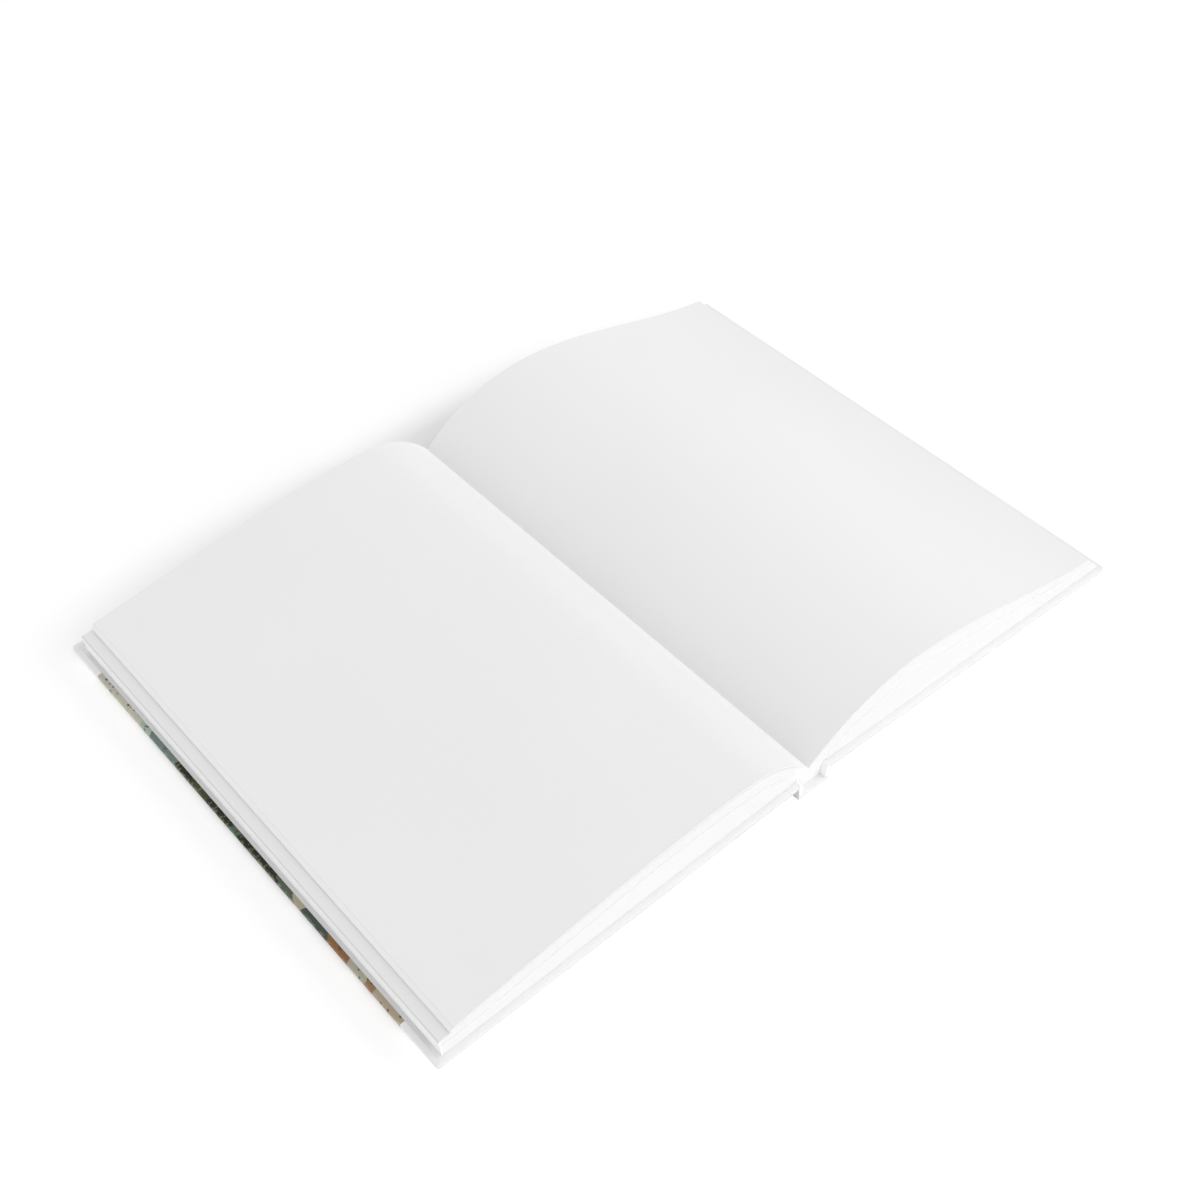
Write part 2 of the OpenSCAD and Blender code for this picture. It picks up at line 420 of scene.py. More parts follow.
def print_effect():
    """Fields of colour with simple marks, running along the cover."""
    group, inp, out = shader_group(
        "panel_print",
        [("Lean", "NodeSocketFloat", 0.35)],
        [("Colour", "NodeSocketColor"), ("Inside", "NodeSocketFloat")],
    )
    place = node(group, "ShaderNodeTexCoord").outputs["Object"]
    parts = node(group, "ShaderNodeSeparateXYZ", {0: place})
    along = math_node(group, "MULTIPLY", parts.outputs["Y"], 1000.0)
    across = math_node(group, "MULTIPLY", math_node(group, "ABSOLUTE", parts.outputs["X"]), 1000.0)
    flat = node(group, "ShaderNodeCombineXYZ", {0: across, 1: along}).outputs[0]
    wobble = node(
        group,
        "ShaderNodeTexNoise",
        {"Vector": flat, "Scale": 0.13, "Detail": 2.0, "Roughness": 0.6},
    )
    sway = math_node(group, "MULTIPLY_ADD", wobble.outputs[0], 16.0, -8.0)
    from_edge = math_node(group, "SUBTRACT", across, 146.0)
    lean = math_node(group, "MULTIPLY", from_edge, inp.outputs["Lean"])
    moved = math_node(group, "ADD", math_node(group, "ADD", along, sway), lean)
    from_tail = math_node(group, "ADD", moved, PRINT_HALF)
    wrapped = math_node(group, "PINGPONG", from_tail, 2 * PRINT_HALF)
    share = math_node(group, "DIVIDE", wrapped, 2 * PRINT_HALF)
    ramp = node(group, "ShaderNodeValToRGB", {"Fac": share})
    ramp.color_ramp.interpolation = "CONSTANT"
    bands = [
        (0.00, (0.42, 0.35, 0.25)),
        (0.07, (0.30, 0.17, 0.09)),
        (0.10, (0.42, 0.39, 0.30)),
        (0.155, (0.25, 0.12, 0.045)),
        (0.21, (0.05, 0.075, 0.06)),
        (0.28, (0.40, 0.36, 0.26)),
        (0.31, (0.085, 0.115, 0.085)),
        (GREEN_START, (0.008, 0.012, 0.007)),
        (0.49, (0.07, 0.13, 0.11)),
        (0.52, (0.010, 0.016, 0.007)),
        (0.60, (0.045, 0.055, 0.02)),
        (0.65, (0.010, 0.016, 0.008)),
        (GREEN_END, (0.15, 0.21, 0.18)),
        (0.79, (0.38, 0.45, 0.38)),
        (0.85, (0.52, 0.51, 0.42)),
        (0.93, (0.50, 0.48, 0.40)),
    ]
    stops = ramp.color_ramp.elements
    while len(stops) > 1:
        stops.remove(stops[-1])
    stops[0].position = bands[0][0]
    stops[0].color = (*bands[0][1], 1)
    for position, colour in bands[1:]:
        stops.new(position).color = (*colour, 1)
    turned = node(
        group,
        "ShaderNodeMapping",
        {"Vector": flat, "Rotation": (0, 0, 0.6), "Scale": (0.4, 0.95, 1)},
    )
    leaves = node(group, "ShaderNodeTexVoronoi", {"Vector": turned.outputs[0], "Scale": 1.0})
    leaf = step_between(group, leaves.outputs["Distance"], 0.42, 0.34)
    leaf_tone = mix_colour(group, leaves.outputs["Color"], (0.012, 0.020, 0.008, 1), (0.17, 0.19, 0.06, 1))
    in_green = math_node(
        group,
        "MULTIPLY",
        math_node(group, "GREATER_THAN", share, GREEN_START),
        math_node(group, "LESS_THAN", share, GREEN_END),
    )
    leaf_share = math_node(group, "MULTIPLY", leaf, in_green)
    with_leaves = mix_colour(group, leaf_share, ramp.outputs[0], leaf_tone)
    dots = node(group, "ShaderNodeTexVoronoi", {"Vector": flat, "Scale": 0.62})
    dot = step_between(group, dots.outputs["Distance"], 0.34, 0.26)
    outside_green = math_node(group, "SUBTRACT", 1.0, in_green)
    dot_draw = node(group, "ShaderNodeSeparateColor", {0: dots.outputs["Color"]}).outputs[0]
    some = math_node(group, "GREATER_THAN", dot_draw, 0.45)
    dot_share = math_node(group, "MULTIPLY", math_node(group, "MULTIPLY", dot, some), outside_green)
    dotted = mix_colour(group, dot_share, with_leaves, (0.10, 0.075, 0.045, 1))
    grain = node(
        group,
        "ShaderNodeTexNoise",
        {"Vector": flat, "Scale": 1.6, "Detail": 3.0, "Roughness": 0.65},
    )
    grain_share = math_node(group, "MULTIPLY", grain.outputs[0], 0.04)
    washed = mix_colour(group, grain_share, dotted, (0.60, 0.57, 0.46, 1))
    ends = math_node(group, "LESS_THAN", math_node(group, "ABSOLUTE", along), PRINT_HALF)
    group.links.new(washed, out.inputs["Colour"])
    group.links.new(ends, out.inputs["Inside"])
    return group


PRINT = print_effect()


def cover_material(name, printed):
    material, tree, shader = new_material(name)
    paper = use_group(tree, PAPER, {"Fibre Scale": 1500.0, "Cloud Scale": 26.0})
    wear = use_group(tree, WEAR, {"Half Across": 0.1461, "Half Along": 0.1017, "Width": 0.0007})
    white = mix_colour(tree, paper.outputs["Tone"], (0.83, 0.83, 0.83, 1), (0.89, 0.89, 0.89, 1))
    place = node(tree, "ShaderNodeTexCoord").outputs["Object"]
    parts = node(tree, "ShaderNodeSeparateXYZ", {0: place})
    # Painted shade on the head and tail end faces
    end_face_shade = step_between(tree, math_node(tree, "ABSOLUTE", parts.outputs["Y"]), 0.1010, 0.1014)
    base = mix_colour(tree, math_node(tree, "MULTIPLY", end_face_shade, 0.4), white, (0.80, 0.80, 0.80, 1))
    if printed:
        design = use_group(tree, PRINT)
        base = mix_colour(tree, design.outputs["Inside"], base, design.outputs["Colour"])
    worn = mix_colour(
        tree,
        math_node(tree, "MULTIPLY", wear.outputs["Wear"], 0.4),
        base,
        (0.78, 0.76, 0.72, 1),
    )
    tree.links.new(worn, shader.inputs["Base Color"])
    rough = math_node(tree, "MULTIPLY_ADD", paper.outputs["Tone"], 0.12, 0.16)
    tree.links.new(rough, shader.inputs["Roughness"])
    shader.inputs["Specular IOR Level"].default_value = 0.15
    bump(tree, shader, paper.outputs["Height"], 0.06, 0.00003)
    return material


PAGE = page_material()
PASTE = paste_material()
BOARD = board_material()
COVER_PRINTED = cover_material("printed_cover_sheet", True)
COVER_PLAIN = cover_material("plain_cover_sheet", False)
LINING = lining_material()

# Sheets of the page block

def bend(a, b, count, full):
    """Points on a Hermite curve from a to b, each given as x, z and slope."""
    t = np.linspace(0, 1, count + 1)
    w = b[0] - a[0]
    x = a[0] + w * t
    z = (
        (2 * t**3 - 3 * t**2 + 1) * a[1]
        + (3 * t**2 - 2 * t**3) * b[1]
        + w * ((t**3 - 2 * t**2 + t) * a[2] + (t**3 - t**2) * b[2])
    )
    points = np.stack([x, z], axis=1)
    return points if full else points[1:]


def rise_from_strip(root_x, inner, arch=0.0):
    """Sheet from its fold on the strip up to the point where it bends outward."""
    t = np.linspace(0, 1, FOLD_STEPS + 1)[:-1]
    low = CASE_T + 0.02
    x = root_x + (inner[0] - root_x) * t**3.5
    z = low + (inner[1] - low) * (1 - (1 - t) ** 2) + arch * np.sin(math.pi * t)
    return np.stack([x, z], axis=1)


def page_line(root_x, inner, crest, outer):
    """Section of one sheet; inner, crest and outer hold x, z and slope."""
    rest = STEPS - FOLD_STEPS
    first = int(rest * 0.4)
    return np.concatenate(
        [
            rise_from_strip(root_x, inner),
            bend(inner, crest, first, True),
            bend(crest, outer, rest - first - 1, False),
        ]
    )


def base_line(root_x, crest_x, foot_x):
    """Lowest sheet, which rests on the inside of a cover."""
    over = (HINGE_X - 0.9, rest_z(HINGE_X) + 0.2)
    land = HINGE_X + 1.5
    rest = STEPS - FOLD_STEPS
    first = int(rest * 0.4)
    x = np.concatenate(
        [
            np.linspace(over[0], crest_x, first + 1),
            np.linspace(crest_x, foot_x, rest - first)[1:],
        ]
    )
    z = np.array([rest_z(v) + 0.02 for v in x])
    z = np.where(x < land, np.interp(x, [over[0], land], [over[1], rest_z(land)]), z)
    return np.concatenate([rise_from_strip(root_x, over, 0.5), np.stack([x, z], axis=1)])


def cut_back(line, end_x):
    """The same page line, ending nearer to the fold."""
    made = line.copy()
    first = STEPS // 2
    start = line[first, 0]
    made[first:, 0] = start + (line[first:, 0] - start) * (end_x - start) / (line[-1, 0] - start)
    made[first:, 1] = np.interp(made[first:, 0], line[first:, 0], line[first:, 1])
    return made


def part_way(low, high, share):
    """A page line between two others."""
    return low * (1 - share) + high * share


def raised(line, height):
    """The same page line, lifted where it leaves the fold."""
    made = line.copy()
    free = line[FOLD_STEPS:, 0]
    u = np.maximum(free - free[0], 0) / TOP_LIFT_REACH
    made[FOLD_STEPS:, 1] += height * u * np.exp(1 - u)
    return made


LEFT_EDGE_Z = rest_z(137.9) + 9.5
RIGHT_EDGE_Z = rest_z(136.3) + 7.9
lower_mid = page_line(2.1, (4.7, 8.7, 0.75), (42, 17.0, 0), (143.2, rest_z(143.2) + 4.6, -0.06))
lower_top = page_line(1.5, (3.4, 9.6, 0.95), (34, 19.4, 0), (143.4, rest_z(143.4) + 7.15, -0.10))
upper_low = cut_back(lower_top, 139.5)
upper_mid = page_line(0.9, (2.3, 10.3, 1.05), (30, 21.0, 0), (138.8, rest_z(138.8) + 8.35, -0.14))
left_top = page_line(0.0, (0.96, 9.54, 1.25), (28, 23.7, 0), (137.9, LEFT_EDGE_Z, -0.155))
left_lines = [
    base_line(LEFT_ROOT, 28, 142.9),
    lower_mid,
    part_way(lower_mid, lower_top, 0.86),
    cut_back(part_way(lower_mid, lower_top, 0.86), 142.8),
    cut_back(part_way(lower_mid, lower_top, 0.96), 142.8),
    part_way(lower_mid, lower_top, 0.96),
    lower_top,
    cut_back(upper_low, 138.7),
    cut_back(part_way(upper_low, upper_mid, 0.25), 138.7),
    part_way(upper_low, upper_mid, 0.25),
    part_way(upper_mid, left_top, 0.12),
    part_way(upper_mid, left_top, 0.60),
    part_way(upper_mid, left_top, 0.70),
    left_top,
]
right_third = page_line(1.6, (2.6, 10.6, 0.72), (47, 24.5, 0), (137.7, RIGHT_EDGE_Z - 1.5, -0.08))
right_fourth = page_line(1.0, (0.6, 10.6, 0.78), (46.5, 26.6, 0), (136.7, RIGHT_EDGE_Z - 0.5, -0.09))
right_fourth = raised(right_fourth, 0.3)
right_top = page_line(0.0, (-0.96, 9.54, 0.86), (46, 27.75, 0), (136.3, RIGHT_EDGE_Z, -0.10))
right_top = raised(right_top, 0.6)
right_lines = [
    base_line(RIGHT_ROOT, 46, 144.2),
    page_line(2.4, (4.7, 9.0, 0.6), (46, 19.4, 0), (139.6, rest_z(144.2) + 4.7, -0.06)),
    right_third,
    part_way(right_third, right_fourth, 0.86),
    part_way(right_third, right_fourth, 0.95),
    part_way(right_fourth, right_top, 0.45),
    part_way(right_fourth, right_top, 0.62),
    right_top,
]


def line_object(name, side, lines):
    points = [(side * p[0], 0.0, p[1]) for line in lines for p in line]
    mesh = bpy.data.meshes.new(name)
    mesh.from_pydata([tuple(c * MM for c in p) for p in points], [], [])
    obj = bpy.data.objects.new(name, mesh)
    bpy.context.scene.collection.objects.link(obj)
    return obj


def one_sheet():
    """A strip with the steps of a page line, two layers and two ends."""
    points = []
    steps = []
    layers = []
    ends = []
    for s in range(STEPS):
        for layer in (0, 1):
            for end in (0, 1):
                points.append((s * MM, end * MM, layer * MM))
                steps.append(s)
                layers.append(float(layer))
                ends.append(float(end))

    def at(s, layer, end):
        return s * 4 + layer * 2 + end

    faces = [(at(0, 0, 0), at(0, 1, 0), at(0, 1, 1), at(0, 0, 1))]
    last = STEPS - 1
    faces.append((at(last, 0, 0), at(last, 0, 1), at(last, 1, 1), at(last, 1, 0)))
    for s in range(STEPS - 1):
        faces.append((at(s, 1, 0), at(s + 1, 1, 0), at(s + 1, 1, 1), at(s, 1, 1)))
        faces.append((at(s, 0, 0), at(s, 0, 1), at(s + 1, 0, 1), at(s + 1, 0, 0)))
        faces.append((at(s, 0, 0), at(s + 1, 0, 0), at(s + 1, 1, 0), at(s, 1, 0)))
        faces.append((at(s, 0, 1), at(s, 1, 1), at(s + 1, 1, 1), at(s + 1, 0, 1)))
    mesh = bpy.data.meshes.new("one_sheet")
    mesh.from_pydata(points, [], faces)
    for label, kind, values in (
        ("step", "INT", steps),
        ("layer", "FLOAT", layers),
        ("end", "FLOAT", ends),
    ):
        attribute = mesh.attributes.new(label, kind, "POINT")
        attribute.data.foreach_set("value", values)
    obj = bpy.data.objects.new("one_sheet", mesh)
    bpy.context.scene.collection.objects.link(obj)
    return obj


def stack_group():
    """Repeats one sheet between two neighbouring page lines."""
    group = bpy.data.node_groups.new("sheet_stack", "GeometryNodeTree")
    face = group.interface
    face.new_socket("Geometry", in_out="INPUT", socket_type="NodeSocketGeometry")
    for label, kind, default in (
        ("Sheet", "NodeSocketObject", None),
        ("Lines", "NodeSocketObject", None),
        ("First Line", "NodeSocketInt", 0),
        ("Steps", "NodeSocketInt", STEPS),
        ("Sheets", "NodeSocketInt", 10),
        ("Filled", "NodeSocketFloat", 0.95),
        ("Tail", "NodeSocketFloat", 0.0),
        ("Head", "NodeSocketFloat", 0.1),
        ("Stand Out", "NodeSocketFloat", 0.0),
        ("Spread", "NodeSocketFloat", 0.0001),
        ("Edge Spread", "NodeSocketFloat", 0.0001),
        ("Seed", "NodeSocketInt", 1),
        ("Material", "NodeSocketMaterial", None),
    ):
        socket = face.new_socket(label, in_out="INPUT", socket_type=kind)
        if default is not None:
            socket.default_value = default
    face.new_socket("Geometry", in_out="OUTPUT", socket_type="NodeSocketGeometry")
    inp = group.nodes.new("NodeGroupInput").outputs
    out = group.nodes.new("NodeGroupOutput")

    def calc(operation, a, b=None):
        return math_node(group, operation, a, b)

    def named(label, kind):
        made = node(group, "GeometryNodeInputNamedAttribute", {"Name": label}, data_type=kind)
        return made.outputs["Attribute"]

    def chance(low, high, seed):
        made = node(
            group,
            "FunctionNodeRandomValue",
            {"ID": named("sheet", "INT"), "Seed": seed},
            data_type="FLOAT",
        )
        made.inputs[2].default_value = low
        made.inputs[3].default_value = high
        return made.outputs[1]

    sheet = node(group, "GeometryNodeObjectInfo", {"Object": inp["Sheet"]}, transform_space="ORIGINAL")
    lines = node(group, "GeometryNodeObjectInfo", {"Object": inp["Lines"]}, transform_space="ORIGINAL")
    row = node(group, "GeometryNodeMeshLine", {"Count": inp["Sheets"], "Offset": (0, 0, 0)})
    spread = node(
        group,
        "GeometryNodeInstanceOnPoints",
        {"Points": row.outputs["Mesh"], "Instance": sheet.outputs["Geometry"]},
    )
    counted = node(
        group,
        "GeometryNodeStoreNamedAttribute",
        {"Geometry": spread.outputs["Instances"], "Name": "sheet"},
        data_type="INT",
        domain="INSTANCE",
    )
    group.links.new(node(group, "GeometryNodeInputIndex").outputs[0], counted.inputs["Value"])
    real = node(group, "GeometryNodeRealizeInstances", {"Geometry": counted.outputs["Geometry"]})
    lift = calc("ADD", named("sheet", "INT"), calc("MULTIPLY", named("layer", "FLOAT"), inp["Filled"]))
    share = calc("DIVIDE", lift, inp["Sheets"])
    low_index = calc("ADD", calc("MULTIPLY", inp["First Line"], inp["Steps"]), named("step", "INT"))
    high_index = calc("ADD", low_index, inp["Steps"])
    place = node(group, "GeometryNodeInputPosition").outputs[0]

    def on_line(index):
        made = node(
            group,
            "GeometryNodeSampleIndex",
            {"Geometry": lines.outputs["Geometry"]},
            data_type="FLOAT_VECTOR",
            domain="POINT",
        )
        group.links.new(place, made.inputs["Value"])
        group.links.new(index, made.inputs["Index"])
        return made.outputs["Value"]

    between = node(
        group,
        "ShaderNodeMix",
        {0: share, 4: on_line(low_index), 5: on_line(high_index)},
        data_type="VECTOR",
    )
    parts = node(group, "ShaderNodeSeparateXYZ", {0: between.outputs[1]})
    away = step_between(group, named("step", "INT"), 7.0, 14.0)
    stand = calc("MULTIPLY", away, inp["Stand Out"])
    loose_tail = calc("MULTIPLY", chance(-1.0, 1.0, inp["Seed"]), inp["Spread"])
    tail = calc("ADD", calc("SUBTRACT", inp["Tail"], stand), calc("MULTIPLY", loose_tail, away))
    other_seed = calc("ADD", inp["Seed"], 50)
    loose_head = calc("MULTIPLY", chance(-1.0, 1.0, other_seed), inp["Spread"])
    head = calc("ADD", calc("ADD", inp["Head"], stand), calc("MULTIPLY", loose_head, away))
    along = node(
        group,
        "ShaderNodeMix",
        {0: named("end", "FLOAT"), 2: tail, 3: head},
        data_type="FLOAT",
    ).outputs[0]
    third_seed = calc("ADD", inp["Seed"], 90)
    outward = calc("POWER", calc("DIVIDE", named("step", "INT"), calc("SUBTRACT", inp["Steps"], 1)), 12.0)
    jitter = calc("MULTIPLY", calc("MULTIPLY", chance(-1.0, 0.0, third_seed), inp["Edge Spread"]), outward)
    signed = calc("MULTIPLY", jitter, calc("SIGN", parts.outputs["X"]))
    moved = node(
        group,
        "ShaderNodeCombineXYZ",
        {0: calc("ADD", parts.outputs["X"], signed), 1: along, 2: parts.outputs["Z"]},
    )
    put = node(
        group,
        "GeometryNodeSetPosition",
        {"Geometry": real.outputs["Geometry"], "Position": moved.outputs[0]},
    )
    joined = node(group, "GeometryNodeRealizeInstances", {"Geometry": put.outputs["Geometry"]})
    painted = node(
        group,
        "GeometryNodeSetMaterial",
        {"Geometry": joined.outputs["Geometry"], "Material": inp["Material"]},
    )
    group.links.new(painted.outputs["Geometry"], out.inputs["Geometry"])
    return group


def stack_of_sheets(group, sheet, lines, values):
    host_mesh = bpy.data.meshes.new("stack_host")
    host = bpy.data.objects.new("stack_host", host_mesh)
    bpy.context.scene.collection.objects.link(host)
    modifier = host.modifiers.new("stack", "NODES")
    modifier.node_group = group
    chosen = {"Sheet": sheet, "Lines": lines, "Material": PAGE, "Steps": STEPS}
    chosen.update(values)
    for item in group.interface.items_tree:
        if item.in_out == "INPUT" and item.name in chosen:
            modifier[item.identifier] = chosen[item.name]
    return baked(host, "stack")


def join_meshes(name, parts):
    bm = bmesh.new()
    for part in parts:
        bm.from_mesh(part.data)
        bpy.data.objects.remove(part)
    bmesh.ops.recalc_face_normals(bm, faces=bm.faces)
    mesh = bpy.data.meshes.new(name)
    bm.to_mesh(mesh)
    bm.free()
    obj = bpy.data.objects.new(name, mesh)
    bpy.context.scene.collection.objects.link(obj)
    return obj


def build_pages():
    group = stack_group()
    sheet = one_sheet()
    left = line_object("left_lines", -1, left_lines)
    right = line_object("right_lines", 1, right_lines)
    # Each plan: page lines, first line, sheets, stand out and edge spread in mm
    plans = [
        (left, 0, 34, 0.25, 0.03),
        (left, 1, 18, 0.00, 0.03),
        (left, 3, 1, 0.00, 0.00),
        (left, 5, 1, 0.00, 0.00),
        (left, 7, 2, 0.05, 0.03),
        (left, 9, 9, 0.05, 0.03),
        (left, 10, 6, 0.22, 0.03),
        (left, 11, 1, -0.25, 0.03),
        (left, 12, 4, 0.22, 0.03),
        (right, 0, 34, 0.25, 0.03),
        (right, 1, 16, 0.00, 0.03),
        (right, 2, 8, 0.12, 0.03),
        (right, 3, 1, -0.35, 0.03),
        (right, 4, 4, 0.20, 0.03),
        (right, 5, 1, -0.30, 0.03),
        (right, 6, 3, 0.24, 0.03),
    ]
    stacks = []
    for index, (lines, first, count, out, edge) in enumerate(plans):
        stacks.append(
            stack_of_sheets(
                group,
                sheet,
                lines,
                {
                    "First Line": first,
                    "Sheets": count,
                    "Filled": SHEET_SHARE,
                    "Tail": TAIL_Y * MM,
                    "Head": HEAD_Y * MM,
                    "Stand Out": out * MM,
                    "Spread": SHEET_SPREAD * MM,
                    "Edge Spread": edge * MM,
                    "Seed": FIRST_SEED + index,
                },
            )
        )
    pages = join_meshes("page_sheets", stacks)
    for leftover in (sheet, left, right):
        bpy.data.objects.remove(leftover)
    pages.data.materials.clear()
    pages.data.materials.append(PAGE)
    smooth(pages, 30)
    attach(pages, "text_block")
    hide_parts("pages")


# Covering sheet of the covers

EDGE_PROFILE = [
    (TURN_IN, CASE_T),
    (8.0, CASE_T),
    (PASTE_INSET, CASE_T),
    (0.9, CASE_T),
    (0.45, CASE_T - 0.03),
    (0.18, CASE_T - 0.14),
    (0.04, CASE_T - 0.34),
    (0.0, CASE_T - 0.6),
    (0.0, 0.6),
    (0.04, 0.34),
    (0.18, 0.14),
    (0.45, 0.03),
    (0.9, 0.0),
    (4.0, 0.0),
]


def edge_loop(inset):
    """Outline of a cover without its joint side, moved inward."""
    w = COVER_W - inset
    h = COVER_H / 2 - inset
    r = max(CORNER_R - inset, 0.0)
    points = [(u, -h) for u in np.linspace(-SHEET_T, w - r, 25)]
    for angle in np.linspace(-90, 0, 7)[1:]:
        a = math.radians(angle)
        points.append((w - r + r * math.cos(a), -h + r + r * math.sin(a)))
    points += [(w, v) for v in np.linspace(-h + r, h - r, 33)[1:]]
    for angle in np.linspace(0, 90, 7)[1:]:
        a = math.radians(angle)
        points.append((w - r + r * math.cos(a), h - r + r * math.sin(a)))
    points += [(u, h) for u in np.linspace(w - r, -SHEET_T, 25)[1:]]
    return points


def cover_sheet(name, side, material, body, node_name):
    points = []
    faces = []
    count = len(edge_loop(0.0))
    for inset, h in EDGE_PROFILE:
        points += [placed(side, u, y, h) for u, y in edge_loop(inset)]
    for ring in range(len(EDGE_PROFILE) - 1):
        for i in range(count - 1):
            a = ring * count + i
            faces.append((a, a + 1, a + 1 + count, a + count))
    rings = len(EDGE_PROFILE)
    base = (rings - 1) * count
    faces.append(tuple(range(base, base + count)))
    tail_side = [ring * count for ring in range(rings)]
    head_side = [ring * count + count - 1 for ring in reversed(range(rings))]
    faces.append(tuple(tail_side + head_side))
    obj = new_object(name, points, faces)
    obj.data.materials.append(material)
    obj = thicken(obj, SHEET_T, -1)
    obj.name = name
    smooth(obj, 40)
    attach(obj, body)
    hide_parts(node_name)
    return obj


def paste_down(name, side, body, node_name):
    """Sheet pasted over the turned-in edges, sunk a little where they end."""
    w = COVER_W - PASTE_INSET
    h = COVER_H / 2 - PASTE_INSET
    us = np.concatenate(
        [
            np.linspace(-0.15, w - 16, 24),
            np.linspace(w - 15.5, w - 12, 8),
            np.linspace(w - 11, w, 6),
        ]
    )
    near_tail = np.concatenate([np.linspace(-h, -h + 11, 6), np.linspace(-h + 12, -h + 15.5, 8)])
    ys = np.concatenate([near_tail, np.linspace(-h + 16.5, h - 16.5, 30), -near_tail[::-1]])
    points = []
    for u in us:
        for y in ys:
            inside = min(w - u, h - abs(y)) - (TURN_IN - PASTE_INSET)
            sink = 0.12 * min(max(inside / 1.5, 0.0), 1.0)
            points.append(placed(side, u, y, CASE_T + PASTE_T - sink))
    faces = []
    cols = len(ys)
    for i in range(len(us) - 1):
        for j in range(cols - 1):
            a = i * cols + j
            faces.append((a, a + 1, a + 1 + cols, a + cols))
    obj = new_object(name, points, faces)
    obj.data.materials.append(PASTE)
    up = obj.data.polygons[len(faces) // 2].normal.z > 0
    if not up:
        obj.data.flip_normals()
    obj = thicken(obj, PASTE_T * 0.9, -1)
    obj.name = name
    smooth(obj, 40)
    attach(obj, body)
    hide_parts(node_name)
    return obj


def swept(points_2d, ys):
    points = []
    for y in ys:
        points += [(x, y, z) for x, z in points_2d]
    count = len(points_2d)
    faces = []
    for row in range(len(ys) - 1):
        for i in range(count - 1):
            a = row * count + i
            faces.append((a, a + 1, a + 1 + count, a + count))
    return points, faces


def joint_sheet(name, side):
    """Covering sheet and lining between the strip and a cover's joint edge."""
    line = [(HINGE_X + 0.02, RISE + 0.05), (HINGE_X - 0.02, RISE - 0.2)]
    for t in np.linspace(0.1, 1, 10):
        line.append((HINGE_X - 0.05 - 0.42 * t - 0.1 * math.sin(math.pi * t), RISE - 0.2 - 5.0 * t))
    line += [(6.36, 0.2), (6.18, 0.06), (5.9, 0.02)]
    ys = np.linspace(-COVER_H / 2 + 0.02, COVER_H / 2 - 0.02, 41)
    points, faces = swept([(side * x, z) for x, z in line], ys)
    obj = new_object(name, points, faces)
    obj.data.materials.append(LINING)
    outward = obj.data.polygons[len(line) // 2].normal.x * side > 0
    if not outward:
        obj.data.flip_normals()
    obj = thicken(obj, 0.3, -1)
    obj.name = name
    smooth(obj, 50)
    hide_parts("spine_wrap")
    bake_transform(obj)
    return obj


def hinge_lining(name, side, root_x):
    """Folded lining between the sheets' foot and the joint, wider than the pages are high."""
    over = (HINGE_X - 0.9, rest_z(HINGE_X) + 0.2)
    inner = rise_from_strip(root_x, over, 0.5)
    outer = [(6.80, 7.70), (6.72, 5.55), (6.6, 5.3), (6.28, CASE_T + 0.03)]
    hollow = [(root_x + 0.03, CASE_T + 0.03)] + [(x + 0.03, z - 0.03) for x, z in inner[1:]] + outer
    fold = [(5.0, CASE_T + 0.03), (5.05, 5.2), (5.3, 6.6), (5.9, 7.5)] + outer
    points = []
    faces = []
    for outline, low, high in (
        (hollow, TAIL_Y + 0.1, HEAD_Y - 0.1),
        (fold, 0.06 - COVER_H / 2, TAIL_Y + 0.05),
        (fold, HEAD_Y - 0.05, COVER_H / 2 - 0.06),
    ):
        first = len(points)
        count = len(outline)
        points += [(side * x, y, z) for y in (low, high) for x, z in outline]
        faces.append(tuple(range(first, first + count)))
        faces.append(tuple(range(first + count, first + 2 * count)))
        for i in range(count):
            j = (i + 1) % count
            faces.append((first + i, first + j, first + count + j, first + count + i))
    obj = new_object(name, points, faces)
    obj.data.materials.append(LINING)
    smooth(obj, 30)
    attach(obj, "text_block")


def strip_sheet():
    """Covering sheet under the strip, turned in at head and tail."""
    end = COVER_H / 2
    line = [
        (end - TURN_IN, CASE_T),
        (end - 1.0, CASE_T),
        (end - 0.45, CASE_T - 0.03),
        (end - 0.18, CASE_T - 0.14),
        (end - 0.04, CASE_T - 0.34),
        (end, CASE_T - 0.6),
        (end, 0.6),
        (end - 0.04, 0.34),
        (end - 0.18, 0.14),
        (end - 0.45, 0.03),
        (end - 1.0, 0.0),
    ]
    whole = [(-y, z) for y, z in line] + [(y, z) for y, z in reversed(line)]
    xs = np.linspace(-SPINE_W / 2 + 0.15, SPINE_W / 2 - 0.15, 9)
    points = [(x, y, z) for x in xs for y, z in whole]
    count = len(whole)
    faces = []
    for row in range(len(xs) - 1):
        for i in range(count - 1):
            a = row * count + i
            faces.append((a, a + 1, a + 1 + count, a + count))
    obj = new_object("spine_sheet", points, faces)
    obj.data.materials.append(COVER_PLAIN)
    lowest = min(obj.data.polygons, key=lambda p: p.center.z)
    if lowest.normal.z > 0:
        obj.data.flip_normals()
    obj = thicken(obj, SHEET_T, -1)
    obj.name = "spine_sheet"
    smooth(obj, 40)
    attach(obj, "text_block")
    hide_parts("spine_wrap")


build_pages()
cover_sheet("front_cover_sheet", -1, COVER_PRINTED, "front_cover", "front_cover_wrap")
cover_sheet("back_cover_sheet", 1, COVER_PLAIN, "back_cover", "back_cover_wrap")
paste_down("front_paste_down", -1, "front_cover", "front_pastedown")
paste_down("back_paste_down", 1, "back_cover", "back_pastedown")
joint_sheet("front_joint_sheet", -1)
joint_sheet("back_joint_sheet", 1)
strip_sheet()
hinge_lining("front_hinge_lining", -1, LEFT_ROOT)
hinge_lining("back_hinge_lining", 1, RIGHT_ROOT)
for label in ("front_board", "back_board", "spine_board"):
    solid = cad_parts[label]
    solid.data.materials.clear()
    solid.data.materials.append(BOARD)

